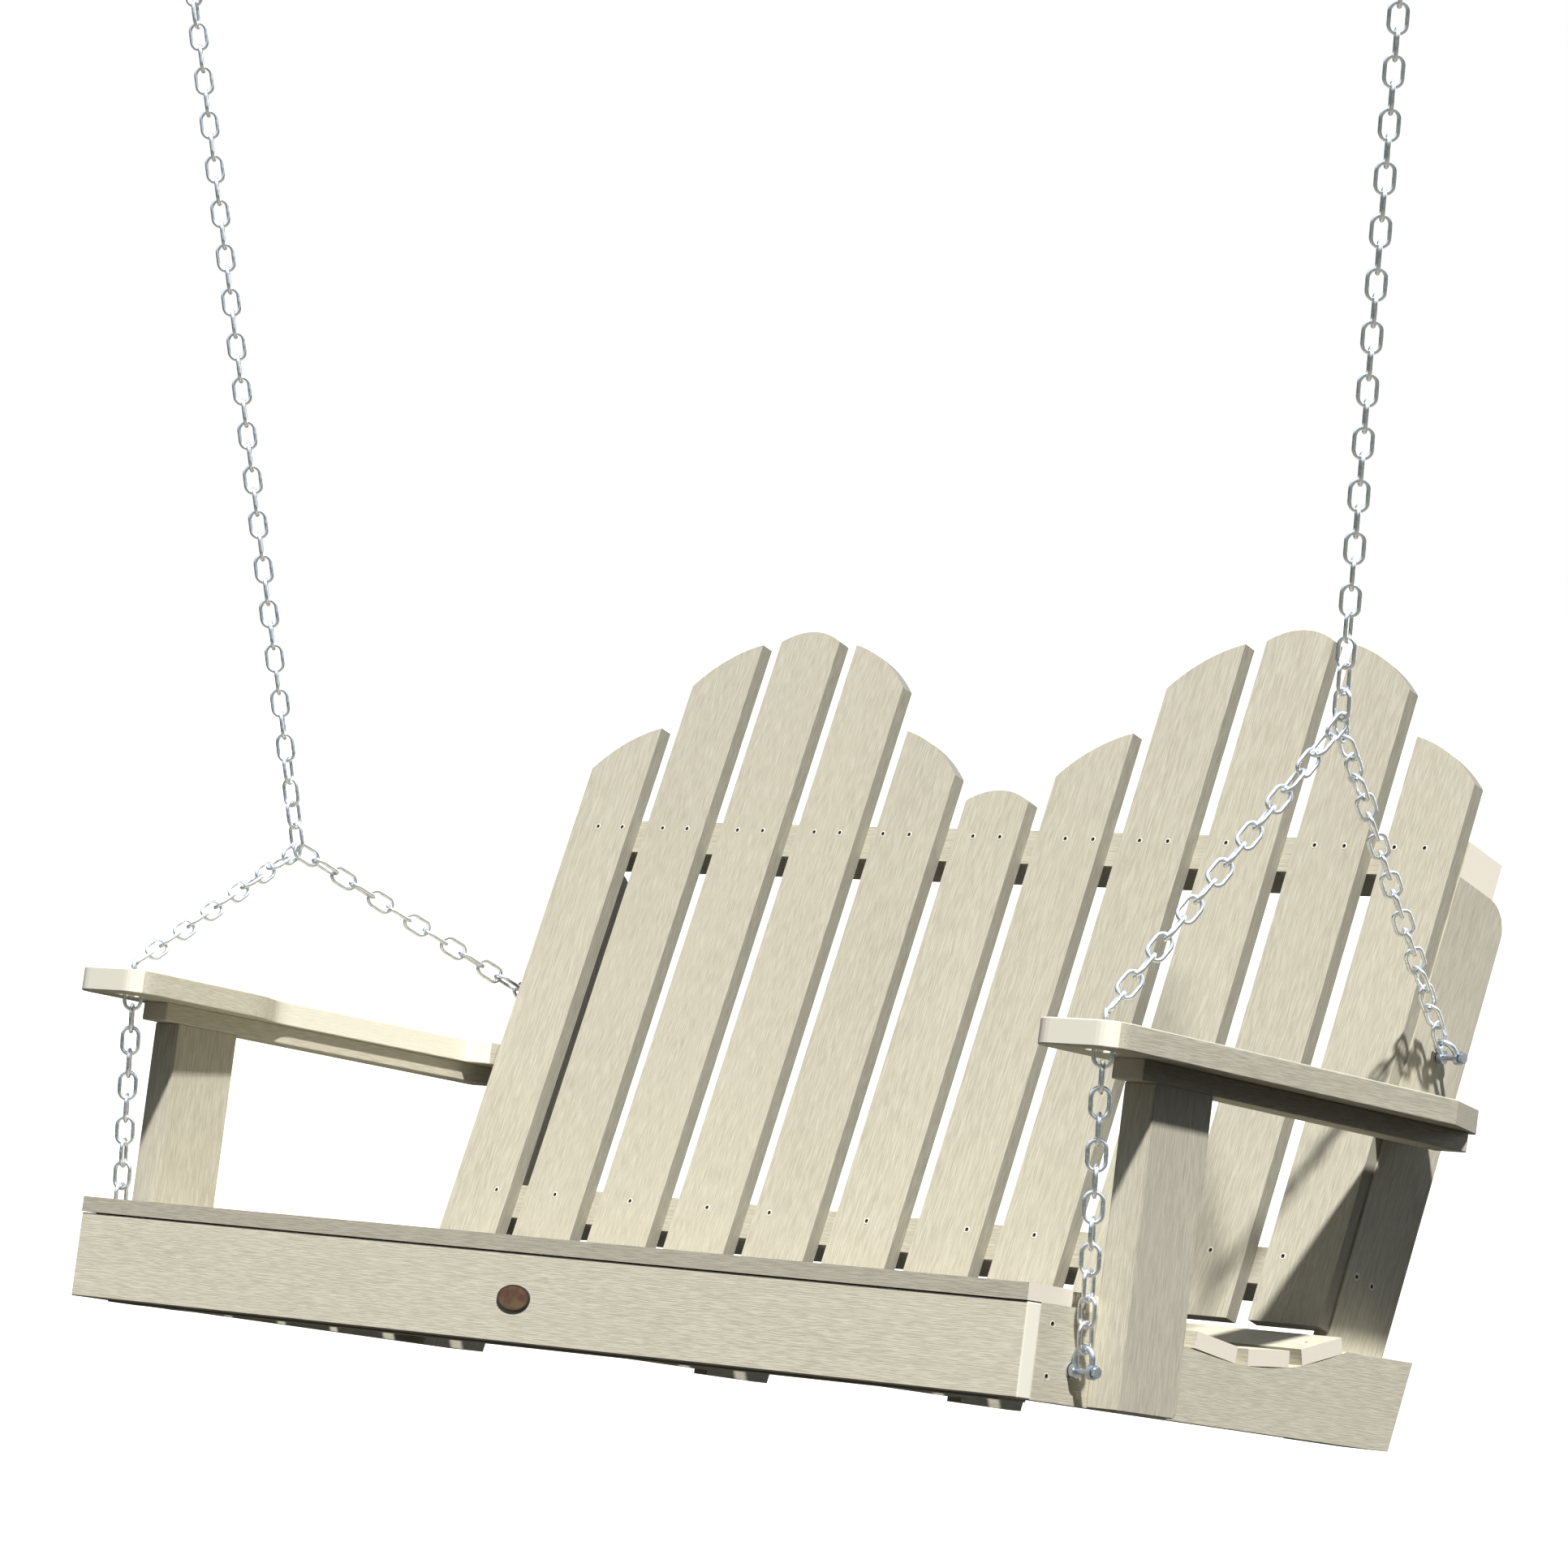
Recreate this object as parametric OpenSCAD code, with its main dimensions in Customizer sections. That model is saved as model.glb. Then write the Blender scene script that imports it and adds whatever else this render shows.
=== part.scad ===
// Porch swing: a slatted double-crown bench hung on two chains that each split into a V.
// World frame: X to the sitter's left, Y to the back, Z up; the origin lies midway
// between the ceiling hooks, on the line that the swing turns about.
// The bench is drawn in its own frame (Y back from the apron, Z up from the apron's
// lower edge) and then leaned back and hung below the hooks. Sizes are in millimetres.

/* [Seat frame] */
// Width across the side rails, and length of the apron and seat slats
frame_w = 1323; // [1000:1:1800]
// Distance from the apron's face back to the back slats, at the foot of the rails
seat_depth = 445; // [360:1:560]
// Height of the apron and side rails
rail_h = 89; // [70:1:120]
// Thickness of the side rails
rail_t = 38; // [25:1:50]
// Thickness of the apron, uprights and seat supports
board_t = 19; // [14:1:30]
// Gap between the apron's top edge and the first seat slat
apron_gap = 1; // [0.5:0.5:4]
// How far the inner front rail hangs below the apron
front_rail_drop = 2; // [0:1:12]
// Distance of each seat support from the middle
support_x = 179; // [100:1:300]
// Height of the shallow relief along the bottom of a seat support
support_relief = 5; // [2:1:14]
// Length of the full-depth heel at the back of a seat support
support_heel = 93; // [40:1:120]

/* [Seat slats] */
// Number of seat slats
slat_n = 6; // [4:1:7]
// Width of a seat slat
slat_w = 62; // [40:1:80]
// Thickness of the seat and back slats
slat_t = 16; // [12:1:25]
// Distance from one seat slat to the next
slat_pitch = 81.3; // [70:0.1:90]
// Radius of the scooped part of the seat
scoop_r = 395; // [300:1:600]
// Distance from the apron's face to the lowest point of the scoop
scoop_y = 326; // [260:1:380]
// Height of the side rail left at the lowest point of the scoop
scoop_z = 61; // [45:1:80]
// Fall of the flat part in front of the scoop, in degrees
scoop_fall = 7; // [3:0.5:12]

/* [Back] */
// Lean of the back from the seat's upright, in degrees
back_lean = 14.9; // [8:0.1:25]
// Number of back slats in each crown, not counting the shared one
crown_n = 5; // [5:2:5]
// Width of a back slat
back_slat_w = 88.9; // [70:0.1:110]
// Gap between back slats
back_slat_gap = 26.6; // [10:0.1:40]
// Height of the lower ends of the back slats, along the slope
back_foot = 115; // [100:1:150]
// Height of the tallest back slats, along the slope
crown_top = 861; // [700:1:1000]
// Fall of a sloping slat top, from the slat's near side to its far side
crown_drop = 51; // [30:1:80]
// Height of one slat's step down from the next
crown_step = 103; // [60:1:140]
// Height of the short shared slat in the middle
middle_top = 674; // [600:1:900]
// Rise of the round top of a middle slat
round_rise = 12.5; // [6:0.5:30]
// Radius of the sloping slat tops
slope_r = 180; // [120:1:400]
// Height of the centre line of the upper rail, along the slope
upper_rail_h = 616; // [500:1:700]
// Height of the centre line of the lower rail, along the slope
lower_rail_h = 177; // [150:1:220]
// Thickness of the back rails, along the slope
back_rail_t = 38; // [25:1:50]
// Depth of the back rails behind the slats
back_rail_d = 59; // [40:1:80]
// Width of the uprights at the ends of the back
upright_w = 88.5; // [60:0.5:110]
// Radius of the rear corner at the top of an upright
upright_r = 32; // [10:1:50]

/* [Arms] */
// Distance from the apron's face to the front of the arm post
post_y = 98; // [80:1:160]
// Width of the arm post, front to back
post_w = 84; // [60:1:110]
// Thickness of the arm post and arm rail
post_t = 38; // [25:1:50]
// Height of the underside of the arm rail at the middle of the post
arm_z = 301.5; // [250:0.5:360]
// Fall of the arm towards the back, in degrees
arm_fall = 0.65; // [0:0.05:3]
// Thickness of the arm rail
arm_rail_h = 20; // [15:1:30]
// Distance of the arm rail's front end ahead of the post
arm_rail_nose = 20; // [10:1:30]
// Distance from the apron's face to the arm rail's rear end
arm_rail_end = 575; // [480:1:620]
// Thickness of the armrest
armrest_t = 25; // [18:1:32]
// Distance of the armrest's outer edge from the side rail's outer face
armrest_out = 66; // [50:1:90]
// Distance of the armrest's wide front part inside the side rail's outer face
armrest_in = 39; // [20:1:60]
// Narrowing of the armrest's front part on the way to its waist
armrest_taper = 8; // [0:1:30]
// Distance of the armrest's waist inside the side rail's outer face
armrest_waist = 6; // [0:1:25]
// Distance from the apron's face to the start of the S-curve at the waist
armrest_curve_y = 165; // [120:1:220]
// Radius of the two arcs of the S-curve
armrest_curve_r = 80; // [40:1:120]
// Radius of the armrest's front corners
armrest_corner = 24; // [5:1:40]
// Size of the cut at the armrest's outer rear corner
armrest_clip = 35; // [10:1:60]
// Distance from the apron's face to the armrest's rear end
armrest_end = 596; // [500:1:640]
// Radius of the chain's hole in the armrest
chain_hole_r = 16; // [13:0.5:20]
// Distance from the apron's face to the chain's hole
chain_hole_y = 40; // [30:1:60]
// Distance of the chain's run outside the side rail's outer face
chain_out = 17; // [15:0.5:30]

/* [Hanging] */
// Lean of the hanging bench, in degrees
seat_lean = 12; // [0:0.1:25]
// Distance of the right junction behind the apron's face
junction_y = 261; // [150:1:400]
// Height of the right junction above the bench's own base
junction_right_z = 669; // [450:1:800]
// Height of the left junction above the bench's own base
junction_left_z = 519; // [450:1:800]
// Distance of the right junction outside the side rail
junction_right_out = 73; // [20:1:150]
// Distance of the left junction outside the side rail
junction_left_out = 66; // [20:1:150]
// Height of the hooks above the right junction
hook_rise = 880; // [500:1:1600]
// Outward splay of the right hanging chain, in degrees
splay_right = 7.1; // [0:0.1:15]
// Outward splay of the left hanging chain, in degrees
splay_left = 8.4; // [0:0.1:15]
// Height of the front anchor bolts above the bench's own base
front_anchor_z = 32; // [20:1:60]
// Distance of the front anchor bolts behind the apron's face
front_anchor_y = 71; // [60:1:90]
// Height of the rear anchor bolts, along the slope of the back
rear_anchor_h = 422; // [350:1:500]

/* [Chain] */
// Diameter of the chain wire
wire = 4.3; // [3:0.1:5.5]
// Wanted distance from one link to the next
link_pitch = 25; // [20:0.5:35]
// Width of the opening in a link
link_in = 12.8; // [11:0.1:16]
// Free play between touching links
link_play = 0.3; // [0.1:0.05:1]

/* [Hardware] */
// Diameter of the anchor bolts
bolt_d = 6; // [5:0.5:8]
// Diameter of the shackle wire
shackle_wire = 6; // [5:0.5:8]
// Width of the opening in a shackle
shackle_in = 14; // [12:0.5:20]
// Distance from a shackle's bolt to the middle of its bow
shackle_len = 22; // [18:0.5:30]
// Diameter of the ceiling hook's wire
hook_wire = 8; // [6:0.5:12]
// Radius of the ceiling hook's eye, to the middle of the wire
hook_r = 15; // [12:0.5:25]
// Length of the ceiling hook's screw shank
hook_shank = 60; // [40:1:90]
// Diameter of a screw's shank
screw_d = 4.2; // [3:0.1:6]
// Diameter of a screw's head
screw_head = 8; // [6:0.5:10]
// Length of a back or seat screw
screw_len = 32; // [25:1:45]
// Width of the oval badge
badge_w = 46; // [30:1:80]
// Height of the oval badge
badge_h = 26; // [20:1:50]

/* [Hidden] */
$fn = 64;
play = 0.05;
over = 1;

half_w = frame_w / 2;
inner_w = half_w - rail_t;
lean_tan = tan(back_lean);
lean_cos = cos(back_lean);

// Scoop: the centre of its arc and the point where the sloping flat meets it
scoop_c = [scoop_y, scoop_z + scoop_r];
scoop_t = [scoop_y - scoop_r * sin(scoop_fall), scoop_c[1] - scoop_r * cos(scoop_fall)];
scoop_front = scoop_t[0] - (rail_h - scoop_t[1]) / tan(scoop_fall);

// Length of the full-depth toe at the front of a seat support
support_toe = 53;

// How far the front slat stands out over the apron's face
slat_nose = 1;

// Back: the uprights stand behind the slats and are flush with the rails' rear ends
upright_back = slat_t + upright_w;
upright_x = inner_w - board_t;
upright_top = upper_rail_h - back_rail_t / 2;
back_n = 2 * crown_n + 1;
back_pitch = back_slat_w + back_slat_gap;
crown_x = (crown_n + 1) / 2 * back_pitch;

// Height lost from the top of a crown's middle slat to the near corner of the next one
crown_shoulder = 16;

// Arms
post_mid = post_y + post_w / 2;
armrest_z = arm_z + arm_rail_h;
arm_top = armrest_z + armrest_t;
arm_jog_y = slope_point(slat_t, armrest_z)[0] - 20;
arm_jog_slant = 8;
clip_length = 2.3 * armrest_clip;

// Screws: their shifts from a slat's middle, towards its crown's middle, their distance
// above a rail's centre line, and the spacing of the two in the upper rail
lower_screw_shift = 24;
upper_screw_shift = 14;
lower_screw_rise = 6;
upper_screw_rise = 4;
screw_pair = 38;
rail_screw_y = board_t + rail_t / 2;

// Hanging: junctions in the bench's frame, then in the world
x_right = half_w + junction_right_out;
x_left = -half_w - junction_left_out;
junction_left_y = junction_y + (junction_right_z - junction_left_z) * tan(seat_lean);
junction_right = [x_right, junction_y, junction_right_z];
junction_left = [x_left, junction_left_y, junction_left_z];
seat_shift = [
    0,
    -junction_y * cos(seat_lean) - junction_right_z * sin(seat_lean),
    junction_y * sin(seat_lean) - junction_right_z * cos(seat_lean) - hook_rise
];
hook_x_right = x_right + hook_rise * tan(splay_right);
left_rise = hook_rise + (junction_right_z - junction_left_z) / cos(seat_lean);
hook_x_left = x_left - left_rise * tan(splay_left);

// Anchors in the bench's frame
washer_t = 1.5;
anchor_stand = washer_t + shackle_wire + shackle_in / 2 + 0.5;
front_anchor = [half_w, front_anchor_y, front_anchor_z];
rear_anchor = concat([inner_w], slope_point(slat_t + upright_w / 2, rear_anchor_h));

// Node to draw, or all of them

poly_colour = [0.85, 0.82, 0.74];
steel_colour = [0.75, 0.78, 0.82];

// ---- placing -------------------------------------------------------------------------

// Depth and height of a point given by its distance behind the back's face and its
// height along the slope
function slope_point(off, h) = [
    seat_depth + off / lean_cos + (h * cos(back_lean) - off * sin(back_lean)) * lean_tan,
    h * cos(back_lean) - off * sin(back_lean)
];

function unit(v) = v / norm(v);

module bench() {
    translate(seat_shift)
        rotate([-seat_lean, 0, 0])
            color(poly_colour)
                children();
}

// Children drawn flat, X across the bench and Y up the slope, from the back's face
module on_back() {
    translate([0, seat_depth, 0])
        rotate([90 - back_lean, 0, 0])
            children();
}

// A side view (Y back, Z up) given a thickness from x0 to x1
module side_board(x0, x1) {
    translate([x0, 0, 0])
        rotate([90, 0, 90])
            linear_extrude(x1 - x0)
                children();
}

module on_arm() {
    translate([0, post_mid, arm_z])
        rotate([-arm_fall, 0, 0])
            translate([0, -post_mid, -arm_z])
                children();
}

module mirrored(side) {
    mirror([side < 0 ? 1 : 0, 0, 0])
        children();
}

// ---- fasteners -----------------------------------------------------------------------

// Countersunk screw pointing down, its head's top at the origin
module sunk_screw(length, grow) {
    head_h = (screw_head - screw_d) / 2;
    translate([0, 0, -head_h])
        cylinder(h = head_h, r1 = screw_d / 2 + grow, r2 = screw_head / 2 + grow);
    translate([0, 0, -length])
        cylinder(h = length, r = screw_d / 2 + grow);
}

// Which way a slat's crown middle lies from the slat: -1, 0 or 1
function crown_side(i) = sign((i > crown_n ? crown_x : -crown_x) - slat_x(i)) * outer_slat(i);
function outer_slat(i) = (i % (crown_n + 1) == 0 || i % (crown_n + 1) == crown_n - 1) ? 1 : 0;

module back_screw_set(i, grow) {
    shift = i == crown_n ? 0 : crown_side(i);
    for (dx = [-0.5, 0.5])
        translate([
            slat_x(i) + shift * upper_screw_shift + dx * screw_pair,
            upper_rail_h + upper_screw_rise,
            0
        ])
            sunk_screw(screw_len, grow);
    translate([slat_x(i) + shift * lower_screw_shift, lower_rail_h + lower_screw_rise, 0])
        sunk_screw(screw_len, grow);
}

// Screws through a seat slat: one at each side rail and one at each support
module seat_screw_set(i, grow) {
    for (x = [-half_w + rail_t / 2, -support_x, support_x, half_w - rail_t / 2])
        on_seat(i)
            translate([x, 0, slat_t])
                sunk_screw(screw_len, grow);
}

// Screws through the right side rail into the front rail, and through the upright
// into the lower back rail
module frame_screw_set(grow) {
    for (z = [23, 71])
        translate([half_w, rail_screw_y, z])
            rotate([0, 90, 0])
                sunk_screw(rail_t + 22, grow);
    for (off = [33, 59])
        translate(concat([inner_w], slope_point(off, lower_rail_h + 2)))
            rotate([0, 90, 0])
                sunk_screw(board_t + 22, grow);
}

module all_frame_screws(grow) {
    for (side = [-1, 1])
        mirrored(side)
            frame_screw_set(grow);
}

// ---- seat frame ----------------------------------------------------------------------

module rail_outline(front) {
    difference() {
        polygon([
            [front, 0],
            slope_foot(0),
            slope_foot(rail_h),
            [front, rail_h]
        ]);
        translate(scoop_c)
            circle(r = scoop_r, $fn = 180);
        polygon([
            [scoop_front, rail_h],
            scoop_t,
            [scoop_t[0] + over, rail_h + over],
            [scoop_front, rail_h + over]
        ]);
    }
}

// A point at height z on the line of the uprights' rear edge
function slope_foot(z) = [seat_depth + upright_back / lean_cos + z * lean_tan, z];

module side_rail(side) {
    bench() difference() {
        mirrored(side)
            side_board(inner_w, half_w)
                rail_outline(board_t);
        seat_screw_holes();
        all_frame_screws(play);
        anchor_holes();
    }
}

module seat_support(side) {
    relief_y = [board_t + rail_t + support_toe, slope_foot(0)[0] - support_heel];
    bench() difference() {
        translate([side * support_x, 0, 0])
            side_board(-board_t / 2, board_t / 2)
                difference() {
                    rail_outline(board_t + rail_t);
                    translate([relief_y[0], -over])
                        square([relief_y[1] - relief_y[0], support_relief + over]);
                }
        seat_screw_holes();
    }
}

module front_apron() {
    bench()
        translate([-half_w, 0, 0])
            cube([frame_w, board_t, rail_h - apron_gap]);
}

module front_rail() {
    bench() difference() {
        translate([-inner_w, board_t, -front_rail_drop])
            cube([2 * inner_w, rail_t, rail_h - apron_gap]);
        all_frame_screws(play);
        seat_screw_set(0, play);
    }
}

module seat_screw_holes() {
    for (i = [0 : slat_n - 1])
        seat_screw_set(i, play);
}

// ---- seat slats ----------------------------------------------------------------------

function slat_mid(i) = slat_w / 2 - slat_nose + i * slat_pitch;

// Tilt of a seat slat: level on the rails' front, then down the flat, then round the arc
function slat_tilt(i) =
    i == 0 ? 0 :
    slat_mid(i) + slat_w / 2 < scoop_t[0] ? -scoop_fall :
    asin((slat_mid(i) - scoop_y) / scoop_r);

// Depth and height of the middle of a seat slat's underside
function slat_seat(i) =
    i == 0 ? [slat_mid(i), rail_h] :
    slat_mid(i) + slat_w / 2 < scoop_t[0] ?
        [slat_mid(i), rail_h - (slat_mid(i) - scoop_front) * tan(scoop_fall)] :
        scoop_c + sqrt(pow(scoop_r, 2) - pow(slat_w / 2, 2))
            * [sin(slat_tilt(i)), -cos(slat_tilt(i))];

module on_seat(i) {
    translate(concat([0], slat_seat(i)))
        rotate([slat_tilt(i), 0, 0])
            children();
}

module seat_slat(i) {
    bench() difference() {
        on_seat(i)
            translate([-half_w, -slat_w / 2, 0])
                cube([frame_w, slat_w, slat_t]);
        seat_screw_set(i, play);
    }
}

// ---- back ----------------------------------------------------------------------------

function slat_x(i) = (i - crown_n) * back_pitch;

// Place of a slat in its crown, counted from the crown's middle: 0 for the tallest
function crown_place(i) = abs((i % (crown_n + 1)) - (crown_n - 1) / 2);

module back_slat(i) {
    is_middle = i == crown_n;
    place = crown_place(i);
    tall = is_middle ? middle_top : crown_top;
    outward = sign(slat_x(i) - (i > crown_n ? crown_x : -crown_x));
    bench() difference() {
        on_back() translate([slat_x(i), 0, -slat_t]) linear_extrude(slat_t)
            if (is_middle || place == 0)
                round_top(tall);
            else
                mirror([outward < 0 ? 1 : 0, 0])
                    slope_top(crown_top - crown_shoulder - (place - 1) * crown_step);
        on_back() back_screw_set(i, play);
    }
}

module slat_blank(top) {
    translate([-back_slat_w / 2, back_foot])
        square([back_slat_w, top - back_foot]);
}

// Slat with a round top
module round_top(top) {
    r = (pow(back_slat_w / 2, 2) + pow(round_rise, 2)) / (2 * round_rise);
    intersection() {
        slat_blank(top);
        translate([0, top - r])
            union() {
                circle(r = r, $fn = 120);
                translate([-back_slat_w, -top])
                    square([2 * back_slat_w, top]);
            }
    }
}

// Slat whose top falls in an arc from its inner side to its outer side
module slope_top(top) {
    chord = [back_slat_w, -crown_drop];
    half = norm(chord) / 2;
    centre = [0, top - crown_drop / 2]
        - sqrt(pow(slope_r, 2) - pow(half, 2)) * unit([crown_drop, back_slat_w]);
    intersection() {
        slat_blank(top);
        union() {
            translate(centre)
                circle(r = slope_r, $fn = 180);
            translate([-back_slat_w, 0])
                square([2 * back_slat_w, top - crown_drop - 40]);
        }
    }
}

module back_rail(h, x_end) {
    bench() difference() {
        on_back()
            translate([-x_end, h - back_rail_t / 2, -slat_t - back_rail_d])
                cube([2 * x_end, back_rail_t, back_rail_d]);
        on_back()
            for (i = [0 : back_n - 1])
                back_screw_set(i, play);
        all_frame_screws(play);
    }
}

module back_upright(side) {
    x = side > 0 ? upright_x : -inner_w;
    bench() difference() {
        intersection() {
            side_board(x, x + board_t)
                upright_outline();
            translate([x - over, 0, 0])
                cube([board_t + 2 * over, 2 * seat_depth, upright_top + over]);
        }
        all_frame_screws(play);
        anchor_holes();
    }
}

module upright_outline() {
    translate([seat_depth, 0])
        rotate(-back_lean)
            difference() {
                translate([slat_t, -upright_w])
                    square([upright_w, upright_top + upright_w]);
                translate([upright_back - upright_r, upright_top - upright_r])
                    difference() {
                        square(upright_r + over);
                        circle(r = upright_r);
                    }
            }
}

// ---- arms ----------------------------------------------------------------------------

module arm_post(side) {
    top_z = [for (y = [post_y, post_y + post_w]) arm_z - (y - post_mid) * tan(arm_fall)];
    chamfer = 5;
    bench()
        mirrored(side)
            side_board(half_w, half_w + post_t)
                polygon([
                    [post_y, 0],
                    [post_y + post_w - chamfer, 0],
                    [post_y + post_w, chamfer],
                    [post_y + post_w, top_z[1]],
                    [post_y, top_z[0]]
                ]);
}

module arm_rail(side) {
    bench() mirrored(side) on_arm()
        translate([half_w, post_y - arm_rail_nose, arm_z])
            cube([post_t, arm_rail_end - post_y + arm_rail_nose, arm_rail_h]);
}

module armrest(side) {
    bench() mirrored(side) difference() {
        on_arm()
            translate([half_w, 0, armrest_z])
                linear_extrude(armrest_t)
                    armrest_outline();
        translate([half_w + chain_out, chain_hole_y, armrest_z - armrest_t])
            cylinder(h = 3 * armrest_t, r = chain_hole_r);
    }
}

// Points on an arc, from angle a to angle b
function arc(centre, r, a, b, steps = 8) = [
    for (i = [0 : steps])
        let (t = a + (b - a) * i / steps)
        centre + r * [cos(t), sin(t)]
];

// Armrest from above, X out from the side rail's outer face: a paddle with rounded
// front corners, an S-curve to a narrower middle, and a rear part that reaches in to
// the upright and is clipped at its outer corner
module armrest_outline() {
    neck_x = armrest_taper - armrest_in;
    half_step = (-armrest_waist - neck_x) / 2;
    turn = acos(1 - half_step / armrest_curve_r);
    curve_end = armrest_curve_y + 2 * armrest_curve_r * sin(turn);
    polygon(concat(
        arc([armrest_corner - armrest_in, armrest_corner], armrest_corner, 180, 270),
        arc([armrest_out - armrest_corner, armrest_corner], armrest_corner, 270, 360),
        [
            [armrest_out, armrest_end - clip_length],
            [armrest_out - armrest_clip, armrest_end],
            [-rail_t, armrest_end],
            [-rail_t, arm_jog_y],
            [-armrest_waist, arm_jog_y - arm_jog_slant]
        ],
        arc([-armrest_waist - armrest_curve_r, curve_end], armrest_curve_r, 0, -turn * 7 / 8, 7),
        arc([neck_x + armrest_curve_r, armrest_curve_y], armrest_curve_r, 180 - turn, 180)
    ));
}

// ---- badge ---------------------------------------------------------------------------

module badge() {
    bench() color([0.42, 0.24, 0.13])
        translate([0, 0, (rail_h - apron_gap) / 2])
            rotate([90, 0, 0])
                linear_extrude(1.6)
                    polygon([for (a = [0 : 7.5 : 352.5]) [badge_w / 2 * cos(a), badge_h / 2 * sin(a)]]);
}

// ---- anchors -------------------------------------------------------------------------

// Children at both anchors of both sides, with +X along the bolt away from the board
// and +Z leading along the chain
module at_anchors() {
    for (side = [-1, 1])
        mirrored(side) {
            translate(front_anchor)
                rotate([anchor_turn(front_anchor, knee(side)), 0, 0])
                    children();
            translate(rear_anchor)
                rotate([anchor_turn(rear_anchor, junction(side)), 0, 0])
                    children();
        }
}

// Turn about X that carries +Z towards the point that the chain leads to
function anchor_turn(from, to) = atan2(-(to[1] - from[1]), to[2] - from[2]);

module anchor_holes() {
    for (side = [-1, 1])
        mirrored(side)
            for (p = [front_anchor, rear_anchor])
                translate(p - [rail_t + over, 0, 0])
                    rotate([0, 90, 0])
                        cylinder(h = rail_t + 2 * over, r = bolt_d / 2 + play);
}

// Board thickness behind each anchor: side rail at the front, upright at the back
module each_anchor_board() {
    for (side = [-1, 1])
        mirrored(side) {
            translate(front_anchor)
                let ($board = rail_t) children();
            translate(rear_anchor)
                let ($board = board_t) children();
        }
}

module x_cylinder(x0, x1, r) {
    translate([x0, 0, 0])
        rotate([0, 90, 0])
            cylinder(h = x1 - x0, r = r);
}

bolt_reach = 2 * (shackle_wire + 0.5) + shackle_in + washer_t;
nut_t = 5;
head_t = 4;
hex_r = bolt_d * 0.92;
washer_r = bolt_d * 1.25;

module anchor_bolt() {
    x_cylinder(-$board - washer_t - nut_t - 2, bolt_reach + head_t, bolt_d / 2);
    translate([bolt_reach, 0, 0])
        rotate([0, 90, 0])
            cylinder(h = head_t, r = hex_r, $fn = 6);
}

module ring(x0, t, r, hole) {
    difference() {
        x_cylinder(x0, x0 + t, r);
        x_cylinder(x0 - over, x0 + t + over, hole);
    }
}

module anchor_bolts() {
    bench() color(steel_colour) each_anchor_board() anchor_bolt();
}

module anchor_washers() {
    bench() color(steel_colour) each_anchor_board() {
        ring(0, washer_t, washer_r, bolt_d / 2 + play);
        ring(-$board - washer_t, washer_t, washer_r, bolt_d / 2 + play);
    }
}

module anchor_nuts() {
    bench() color(steel_colour) each_anchor_board()
        translate([-$board - washer_t - nut_t, 0, 0])
            rotate([0, 90, 0])
                difference() {
                    cylinder(h = nut_t, r = hex_r, $fn = 6);
                    translate([0, 0, -over])
                        cylinder(h = nut_t + 2 * over, r = bolt_d / 2 + play);
                }
}

// U-shaped bow whose two flattened eyes the bolt passes through
module shackle() {
    leg_x = (shackle_in + shackle_wire) / 2;
    straight = shackle_len - leg_x;
    eye_t = shackle_wire - 1;
    translate([anchor_stand, 0, 0]) difference() {
        union() {
            for (s = [-1, 1]) {
                translate([s * leg_x, 0, bolt_d / 2 + 1])
                    cylinder(h = straight - bolt_d / 2 - 1, r = shackle_wire / 2, $fn = 24);
                x_cylinder(s * leg_x - eye_t / 2, s * leg_x + eye_t / 2, bolt_d / 2 + 4);
            }
            translate([0, 0, straight])
                rotate([90, 0, 0])
                    rotate_extrude(angle = 180, $fn = 32)
                        translate([leg_x, 0])
                            circle(r = shackle_wire / 2, $fn = 24);
        }
        x_cylinder(-2 * leg_x, 2 * leg_x, bolt_d / 2 + play);
    }
}

module shackles() {
    bench() color(steel_colour) at_anchors() shackle();
}

// ---- chains --------------------------------------------------------------------------

// One link standing along Z and lying in the XZ plane; clear is its opening's length
module link(clear) {
    arc_r = (link_in + wire) / 2;
    half_straight = round(50 * (clear - link_in)) / 100;
    for (s = [-1, 1])
        translate([s * arc_r, 0, -half_straight])
            cylinder(h = 2 * half_straight, r = wire / 2, $fn = 24);
    for (flip = [0, 180])
        rotate([0, flip, 0])
            translate([0, 0, half_straight])
                rotate([90, 0, 0])
                    rotate_extrude(angle = 180, $fn = 32)
                        translate([arc_r, 0])
                            circle(r = wire / 2, $fn = 24);
}

// Number of links between two points: even, so that the last link lies across the
// first, or odd, so that it lies in line with it
function even_count(a, b) = 2 * max(1, round(norm(b - a) / link_pitch / 2));
function odd_count(a, b) = 2 * floor(norm(b - a) / link_pitch / 2) + 1;

// A straight run of n links from a to b, points where the insides of the outermost
// links bear. The first link faces sideways and each next one is turned by 90 degrees.
module chain_run(a, b, n) {
    v = b - a;
    tilt = acos(v[2] / norm(v));
    heading = atan2(v[1], v[0]);
    face = atan2(-cos(tilt) * cos(heading), -sin(heading));
    for (i = [0 : n - 1])
        translate(a + v * (i + 0.5) / n)
            rotate([0, tilt, heading])
                rotate([0, 0, face + 90 * i])
                    link(norm(v) / n + link_play);
}

// Bearing point of a link that goes round a wire of radius r centred on p and leads
// away along the direction v
function round_wire(p, r, v) = p - v * (r + link_play);

// Bearing point of a link whose own end wire is centred on p
function end_wire(p, v) = p - v * (wire + link_play) / 2;

function junction(side) = side > 0 ? junction_right : junction_left;

// Where a front chain bends, above its hole in the armrest
function knee(side) = [side * (half_w + chain_out), chain_hole_y, arm_top + 10];

// Middle of a shackle's bow at an anchor, when its chain leads to the point p
function bow_point(anchor, side, p) =
    let (v = p - anchor)
    [side * (anchor[0] + anchor_stand), anchor[1], anchor[2]]
        + unit([0, v[1], v[2]]) * shackle_len;

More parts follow.
